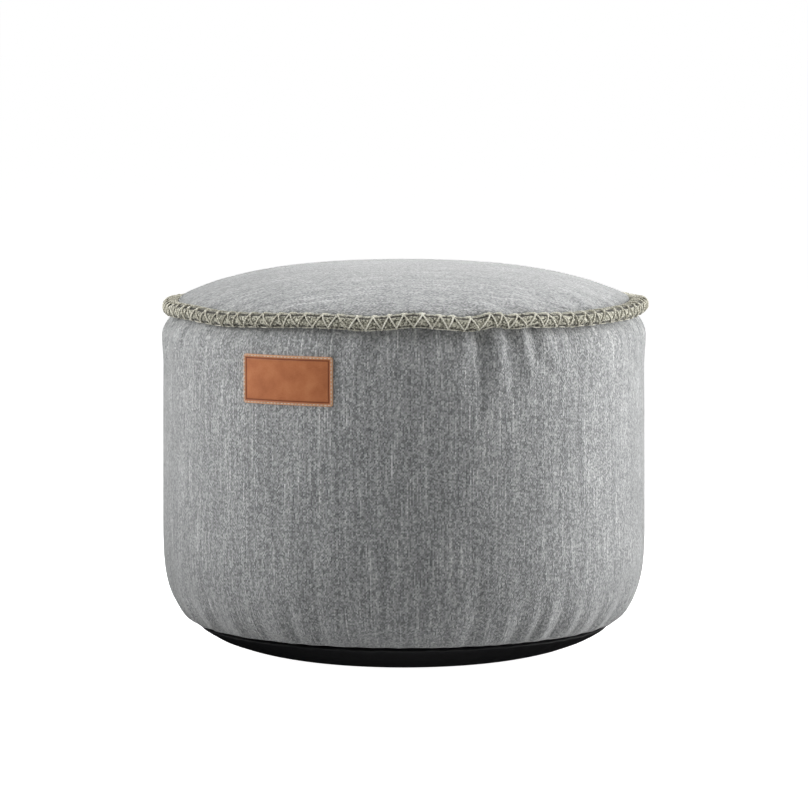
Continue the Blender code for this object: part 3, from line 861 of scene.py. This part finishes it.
def rolled_edge():
    """A ring: the oval section carried round the drum, drawn in by the stitches and uneven by a few
    tenths of a millimetre in between."""
    columns = STITCHES * ROLL_COLUMNS_PER_STITCH
    turns = angles_round(ROLL_POINTS)[:, None] - math.pi
    angle, turn = np.broadcast_arrays(angles_round(columns), turns)
    tip_pull, leg_pull, holes = stitch_pull(angle, turn)
    puff = ROLL_PUFF * (ripple(angle, 150, 5) + ripple(angle + 0.1 * np.sin(turn), 233, 6))
    lift = puff - TIP_DENT * np.maximum(tip_pull, holes * HOLE_DEPTH) - LEG_DENT * leg_pull
    numbers = numbered(ROLL_POINTS, columns)
    faces = corners(np.concatenate([numbers, numbers[:1]])).reshape(-1, 4)
    around = np.linspace(0.0, FULL_TURN * DRUM_RADIUS, columns + 1)
    along = np.linspace(0.0, FULL_TURN * roll_half.mean(), ROLL_POINTS + 1)[:, None]
    # painted shade in the holes and beside the legs, plus the stretches where the roll is coloured darker
    darkness = np.maximum(holes, leg_pull * LEG_SHADE) + ROLL_DARKENING * darkening_round(angle)
    points, place = roll_point(angle, turn, lift), corners(pairs(around, along))
    mesh = new_mesh("rolled_edge", points, faces, place, pull=np.maximum(darkness, 0.0))
    return shown(mesh, rolled_edge_finish())


roll = rolled_edge()
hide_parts("seam_binding")


# ---- the overcast yarn ----
# Thick cream yarn of two plies in a zigzag over the roll, one V to a stitch, held by a chain line
# along its crest and a flatter one below. Each stitch dives into the roll at both ends.

YARN_RADIUS = 0.76 * MM
CHAIN_RADIUS = 0.55 * MM
LOW_CHAIN_RADIUS = 0.5 * MM
KNOT_RADIUS = 0.95 * MM
LOW_KNOT_RADIUS = 0.75 * KNOT_RADIUS
PLY_TURN = 5.0 * MM  # the length in which the two plies go once round each other
YARN_SIDES = 8
YARN_DARKENING = 0.7  # how much darker a strand's tone is in those stretches


def yarn_finish():
    """Cream yarn with fine hairs, and painted shade that darkens the groove between its two plies."""
    finish = Finish("cream_yarn", Roughness=0.85, Sheen_Weight=0.3, Sheen_Roughness=0.4)
    run = finish.attribute("run")
    place = finish.node("ShaderNodeTexCoord", None, None, "Object")
    fuzz = finish.noise(place, scale=1500.0, detail=3.0)
    drift = finish.noise(place, scale=90.0, detail=2.0)
    # painted shade: the tone is a little darker along the groove between the plies
    groove = (run * (2 * FULL_TURN / PLY_TURN)).cosine() * 0.12
    tone = fuzz * 0.55 + drift * 0.35 + finish.attribute("shade") * 0.25 - groove
    stops = [
        (0.30, (0.29, 0.275, 0.215)),
        (0.55, (0.53, 0.512, 0.425)),
        (0.80, (0.74, 0.728, 0.645)),
    ]
    finish.colour(finish.ramp(tone, stops))
    finish.bump(fuzz + groove, 0.25 * MM, 0.6)
    return finish.material


YARN = yarn_finish()


def unit(vectors):
    """Vectors at a length of 1."""
    return vectors / np.linalg.norm(vectors, axis=-1, keepdims=True)


def strands(name, paths, outs, radii, plies=0.16):
    """Joined tubes: round each path [strand, point, xyz] goes a ring of points, out from the path by
    the strand's radius, which swells twice round the ring where the two plies lie; the swelling
    turns along the path. outs is the way out of the surface that the strand lies on."""
    count, steps = paths.shape[:2]
    along = unit(np.gradient(paths, axis=1))
    side = unit(np.cross(along, outs))
    out = np.cross(side, along)
    lengths = np.linalg.norm(np.diff(paths, axis=1), axis=-1)
    travelled = np.cumsum(np.pad(lengths, ((0, 0), (1, 0))), axis=1)
    turn = angles_round(YARN_SIDES)
    swell = 1.0 + plies * np.cos(2 * turn + travelled[..., None] / PLY_TURN * FULL_TURN)
    away = np.cos(turn)[:, None] * out[:, :, None] + np.sin(turn)[:, None] * side[:, :, None]
    rings = paths[:, :, None] + (radii[..., None] * swell)[..., None] * away
    points = np.concatenate([rings.reshape(count, -1, 3), paths[:, [0, -1]]], axis=1)
    numbers = numbered(steps, YARN_SIDES)
    tip = np.full(YARN_SIDES, steps * YARN_SIDES)
    fan_in = np.stack([tip, numbers[0, :-1], numbers[0, 1:]], axis=-1)
    fan_out = np.stack([tip + 1, numbers[-1, 1:], numbers[-1, :-1]], axis=-1)
    start = np.arange(count)[:, None, None] * points.shape[1]
    faces = (corners(numbers.T).reshape(-1, 4) + start).reshape(-1, 4).tolist()
    faces += (np.concatenate([fan_in, fan_out]) + start).reshape(-1, 3).tolist()
    run = np.concatenate([np.repeat(travelled, YARN_SIDES, axis=1), travelled[:, [0, -1]]], axis=1)
    middle = paths[:, steps // 2]
    tones = np.random.default_rng(count).uniform(0.0, 1.0, count)
    tones -= YARN_DARKENING * darkening_round(np.arctan2(middle[:, 0], -middle[:, 1]))
    shade = np.repeat(tones, points.shape[1])
    return shown(new_mesh(name, points, faces, run=run, shade=shade), YARN)


def tapered(radius, steps):
    """A strand's radius at each step: even along it and rounded off at both ends, as 1 less a high
    power of the way from its middle, under a root."""
    return radius * np.sqrt(np.clip(1.02 - np.linspace(-1.0, 1.0, steps) ** 8, 0.05, 1.0))


def laid(name, angle, turn, lift, radius, size=1.0):
    """Yarn on the roll, along a path of angles, of turns round the section and of lifts off it."""
    angle, turn, lift = np.broadcast_arrays(angle, turn, lift)
    outs = on_drum(angle, np.cos(turn), np.sin(turn))
    return strands(name, roll_point(angle, turn, lift), outs, tapered(radius, angle.shape[1]) * size)


def zigzag(name, low_turn, seed):
    """The legs: from a top tip the yarn runs straight over the roll to a low tip, and a little past
    both, diving in at its ends and lying on the surface between."""
    top_tips = np.append(TOP_TIPS, NEXT_TIPS)[:, None]
    low_tips = np.append(LOW_TIPS, LOW_TIPS)[:, None]
    over = np.random.default_rng(seed).uniform(-0.02, 0.09, (2, len(top_tips), 1))
    from_middle = np.linspace(-1.0, 1.0, 11)
    way = 0.5 + from_middle * (0.5 + np.where(from_middle < 0, over[0], over[1]))
    turn = TOP_TIP_TURN + (low_turn - TOP_TIP_TURN) * way
    share = way if low_turn > TOP_TIP_TURN else leg_share(turn, low_turn)
    angle = top_tips + (low_tips - top_tips) * share
    return laid(name, angle, turn, YARN_RADIUS * (0.5 - 1.5 * from_middle**8), YARN_RADIUS)


def chain(name, tips, turn_degrees, radius, rise, loose, seed):
    """A chain line: from each tip to the next one stitch, bowed a little off the roll. Its turn round
    the section strays from stitch to stitch, and a loose chain's stitches are cut uneven in length."""
    rng = np.random.default_rng(seed)
    following = np.append(tips[1:], tips[0] + FULL_TURN)
    ends = rng.uniform(0.0, loose, (2, len(tips), 1))
    way = np.linspace(0.0, 1.0, 9)
    angle = tips[:, None] + (following - tips)[:, None] * (ends[0] + (1 - ends[0] - ends[1]) * way)
    bow = np.sin(math.pi * way)
    stray = rng.uniform(-0.08, 0.08, (len(tips), 1))
    turn = math.radians(turn_degrees) + stray + bow * rng.uniform(-0.1, 0.1, (len(tips), 1))
    lift = radius * 0.5 + rise * bow - radius * np.abs(2 * way - 1) ** 6
    return laid(name, angle, turn, lift, radius)


def knots(name, tips, degrees_from, degrees_to, radius, seed):
    """A short fat stitch across the roll at each tip, where the yarn loops round the chain line."""
    rng = np.random.default_rng(seed)
    way = np.linspace(0.0, 1.0, 9)
    lean = rng.uniform(-0.8, 0.8, (len(tips), 1)) * MM / DRUM_RADIUS
    angle = tips[:, None] + lean * (way - 0.5) * 2
    turn = np.radians(degrees_from + (degrees_to - degrees_from) * way)
    turn = turn + rng.uniform(-0.08, 0.08, (len(tips), 1))
    lift = radius * (0.75 - 1.2 * np.abs(2 * way - 1) ** 4)
    return laid(name, angle, turn, lift, radius, size=rng.uniform(0.85, 1.15, (len(tips), 1)))


yarn_pieces = [
    zigzag("zigzag_yarn", LOW_TIP_TURN, 11),
    zigzag("inner_zigzag_yarn", INNER_TIP_TURN, 17),
    chain("top_chain_yarn", TOP_TIPS, 124, CHAIN_RADIUS, 0.2 * MM, 0.15, 21),
    chain("low_chain_yarn", LOW_TIPS, -58, LOW_CHAIN_RADIUS, 0.1 * MM, 0.48, 22),
    knots("top_knots", TOP_TIPS, 46, 102, KNOT_RADIUS, 23),
    knots("low_knots", LOW_TIPS, -62, -38, LOW_KNOT_RADIUS, 24),
]


# ---- the leather label ----
# A plain plate of tan vegetable-tanned leather, sewn flat on the strip along its border, with a
# pressed line inside the stitching. Its cut edge is paler than its face.

LABEL_THICKNESS = 2.0 * MM
LABEL_SHIFT = 1.4 * MM  # to the left of the drawn place
LABEL_DROP = 0.6 * MM  # and below it
LABEL_CORNER = 3.0 * MM
LABEL_EDGE_ROUND = 0.7 * MM
LABEL_SWELL = 0.15 * MM  # how much lower the leather lies at the pressed line than far inside it
SWELL_REACH = 12 * MM
GROOVE_INSET = 3.9 * MM
GROOVE_WIDTH = 0.7 * MM
GROOVE_DEPTH = 0.5 * MM
BORDER_PALENESS = 0.8
STITCH_INSET = 1.5 * MM
STITCH_LENGTH = 2.9 * MM
STITCH_SPACING = 3.9 * MM
STITCH_RADIUS = 0.32 * MM
STITCH_SINK = 0.2 * MM


def on_label(across, up, off):
    """A point of the label: across its width and up its height from its middle, and off its seat,
    all in metres, bent round the drum."""
    angle = LABEL_ANGLE + (across - LABEL_SHIFT) / DRUM_RADIUS
    return on_drum(angle, LABEL_SEAT + off, LABEL_MIDDLE + up - LABEL_DROP)


def round_corners(across, up):
    """Draws a rectangle's corners in to arcs: in each corner's square, a point's way from the arc's
    centre keeps its longer side's length but is measured along a circle."""
    over_x = np.maximum(np.abs(across) - (LABEL_WIDTH / 2 - LABEL_CORNER), 0.0)
    over_y = np.maximum(np.abs(up) - (LABEL_HEIGHT / 2 - LABEL_CORNER), 0.0)
    longest = np.maximum(over_x, over_y)
    shrink = np.where(longest > 0, longest / np.maximum(np.hypot(over_x, over_y), 1e-9), 1.0)
    return across - np.sign(across) * over_x * (1 - shrink), up - np.sign(up) * over_y * (1 - shrink)


def spread(half):
    """Places from -half to half, close together at the rounded edge and at the pressed line."""
    fine = np.array([0, 0.08, 0.2, 0.4, 0.7, 1.2, 1.8, 2.5, 3.0, 3.3, 3.6, 3.9, 4.2, 4.5, 4.8, 5.3, 6.0]) * MM
    inner = np.linspace(-half + 7 * MM, half - 7 * MM, int(half / (1.2 * MM)))
    return np.concatenate([fine - half, inner, (half - fine)[::-1]])


def leather_finish():
    """Vegetable-tanned leather: pebbled grain, cloudy tone, a dark burnished pressed line and a
    paler border and cut edge."""
    finish = Finish("tan_leather", Specular_IOR_Level=0.25)
    u, v = finish.cloth_place()
    where = finish.spot(u, v)
    grain = finish.node("ShaderNodeTexVoronoi", {"feature": "F1"}, {"Vector": where, "Scale": 1400.0})
    clouds = finish.noise(where, scale=55.0, detail=4.0)
    pores = finish.noise(where, scale=900.0, detail=3.0)
    tone = clouds * 0.7 + pores * 0.4
    stops = [
        (0.35, (0.275, 0.082, 0.027)),
        (0.55, (0.375, 0.123, 0.043)),
        (0.75, (0.450, 0.168, 0.065)),
    ]
    face = finish.ramp(tone, stops)
    bordered = finish.blend(finish.attribute("border"), face, (0.60, 0.36, 0.22))
    finish.colour(finish.blend(finish.attribute("pressed"), bordered, (0.150, 0.036, 0.011)))
    finish.feed(finish.shader.inputs["Roughness"], 0.42 + 0.25 * pores)
    finish.bump(grain * -0.6 + pores * 0.5, 0.12 * MM, 0.5)
    return finish.material


def leather_label():
    """A plate of two faces: the front is rounded down at its edge, sinks at the pressed line and
    swells a little inside it; the back is flat, and a band joins their rims."""
    across, up = np.meshgrid(spread(LABEL_WIDTH / 2), spread(LABEL_HEIGHT / 2))
    inset = np.minimum(LABEL_WIDTH / 2 - np.abs(across), LABEL_HEIGHT / 2 - np.abs(up))
    drop = 1.0 - np.sqrt(np.clip(1.0 - (1.0 - np.clip(inset / LABEL_EDGE_ROUND, 0, 1)) ** 2, 0, 1))
    pressed = bell(inset - GROOVE_INSET, GROOVE_WIDTH)
    border = BORDER_PALENESS * fade(inset, GROOVE_INSET)
    off = LABEL_THICKNESS - LABEL_EDGE_ROUND * drop - GROOVE_DEPTH * pressed
    off = off - LABEL_SWELL * fade(inset - GROOVE_INSET, SWELL_REACH)
    across, up = round_corners(across, up)
    points = np.stack([on_label(across, up, off), on_label(across, up, 0.0)])
    total = across.size
    numbers = np.arange(total).reshape(across.shape)
    face = corners(numbers).reshape(-1, 4)
    rim = np.concatenate([numbers[0, :-1], numbers[:-1, -1], numbers[-1, :0:-1], numbers[:0:-1, 0]])
    rim_next = np.roll(rim, -1)
    band = np.stack([rim + total, rim_next + total, rim_next, rim], -1)
    faces = np.concatenate([face, face[:, ::-1] + total, band])
    place = pairs(across, up).reshape(-1, 2)[faces.ravel() % total]
    pressed, border = np.append(pressed, 0 * pressed), np.append(border, 0 * border + 1)
    mesh = new_mesh("tan_label", points, faces, place, pressed=pressed, border=border)
    return shown(mesh, leather_finish())


def label_stitches():
    """One short strand for each stitch of the border, laid along the label's four sides: it rises
    from the leather, runs its length and dives in again."""
    half_x, half_y = LABEL_WIDTH / 2 - STITCH_INSET, LABEL_HEIGHT / 2 - STITCH_INSET
    stitches = []
    for half, other, upright in ((half_x, half_y, 0), (half_y, half_x, 1)):
        count = round(2 * half / STITCH_SPACING)
        places = (np.arange(count) + 0.5) / count * 2 * half - half
        for side in (-other, other):
            middles = [places, 0 * places + side]
            stitches.append([*(middles[::-1] if upright else middles), 0 * places + upright])
    across, up, upright = np.concatenate(stitches, axis=1)[..., None]
    way = np.linspace(-0.5, 0.5, 7)
    across = across + STITCH_LENGTH * way * (1 - upright)
    up = up + STITCH_LENGTH * way * upright
    off = LABEL_THICKNESS + STITCH_RADIUS * (0.5 - 2.0 * np.abs(2 * way) ** 4) - STITCH_SINK
    outs = on_drum(LABEL_ANGLE + across / DRUM_RADIUS, 1.0, 0.0)
    radii = tapered(STITCH_RADIUS, len(way))
    return strands("label_stitches", on_label(across, up, off), outs, radii, plies=0.1)


label = leather_label()
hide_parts("leather_label")
stitches = label_stitches()


# ---- the floor, the backdrop and the light ----
# A plain pale floor that runs out into a white backdrop. Soft lights stand low and high on both
# sides, stronger on the right, with one overhead, and others shine up through the floor in front,
# at both sides and behind, as a light table's do.

FLOOR_RADIUS = 60.0
STAGE_WHITE = (0.9, 0.9, 0.9)
STAGE_GLOW = 1.0
LIGHT_AIM = Vector((0.0, 0.0, 0.2))


def stage_piece(name, points, faces):
    """Part of the stage, in plain white with a glow of its own, that lights nothing else."""
    glow = {"Emission_Color": (1.0, 1.0, 1.0), "Emission_Strength": STAGE_GLOW}
    mesh = new_mesh(name, points, faces)
    mesh.materials.append(Finish(name, Base_Color=STAGE_WHITE, Roughness=1.0, **glow).material)
    piece = bpy.data.objects.new(name, mesh)
    bpy.context.collection.objects.link(piece)
    piece.visible_diffuse = False
    piece.visible_glossy = False
    return piece


def flat_floor(columns=64):
    """A flat disc: one face on a circle of points."""
    circle = on_drum(angles_round(columns), FLOOR_RADIUS, 0.0)
    floor = stage_piece("floor", circle, np.arange(columns)[None])
    floor.visible_shadow = False


def backdrop_dome(rows=24, columns=48):
    """A sphere seen from inside: points by their height angle and their angle round Z."""
    rise = np.linspace(-0.5 * math.pi, 0.5 * math.pi, rows)[:, None]
    points = FLOOR_RADIUS * on_drum(angles_round(columns), np.cos(rise), np.sin(rise))
    stage_piece("backdrop", points, corners(numbered(rows, columns).T).reshape(-1, 4))


def area_light(name, place, direction, size, power):
    """A rectangular light at a place that shines in a direction and doesn't show itself."""
    light = bpy.data.objects.new(name, bpy.data.lights.new(name, "AREA"))
    light.data.shape = "RECTANGLE"
    light.data.size, light.data.size_y = size
    light.data.energy = power
    light.location = place
    light.rotation_euler = direction.to_track_quat("-Z", "Y").to_euler()
    light.visible_camera = False
    bpy.context.collection.objects.link(light)


flat_floor()
backdrop_dome()

# Square lights aimed at the footstool: the angle round it and the angle above the floor in degrees,
# the distance, the side and the power
for light_name, azimuth, elevation, distance, side, power in (
    ("left_light", -80, 28, 2.3, 1.4, 36),
    ("high_left_light", -70, 50, 2.4, 1.6, 7),
    ("low_left_light", -95, 12, 2.2, 1.6, 9),
    ("right_light", 100, 28, 2.3, 1.4, 39),
    ("low_right_light", 100, 10, 2.2, 1.6, 25),
    ("floor_right_light", 80, 4, 2.2, 1.2, 21),
    ("top_light", 180, 85, 2.4, 2.0, 38.5),
):
    azimuth, elevation = math.radians(azimuth), math.radians(elevation)
    away = Vector((math.sin(azimuth), -math.cos(azimuth), math.tan(elevation))).normalized()
    area_light(light_name, LIGHT_AIM + away * distance, -away, (side, side), power)

# Lights under the floor, which shine straight up through it: the place, the size and the power
for light_name, place, size, power in (
    ("front_glow", (0.0, -3.0, -0.03), (6.0, 2.4), 258),
    ("deep_glow", (0.0, -0.45, -0.2), (0.5, 0.3), 0.9),
    ("left_glow", (-1.4, -0.4, -0.03), (1.6, 1.6), 15),
    ("right_glow", (1.4, -0.4, -0.03), (1.6, 1.6), 13),
    ("back_glow", (0.0, 1.4, -0.03), (1.6, 1.6), 14),
):
    area_light(light_name, Vector(place), Vector((0.0, 0.0, 1.0)), size, power)

world = bpy.data.worlds.new("studio")
world.use_nodes = True
world.node_tree.nodes["Background"].inputs["Strength"].default_value = 0.0
bpy.context.scene.world = world
bpy.context.scene.view_settings.view_transform = "Standard"
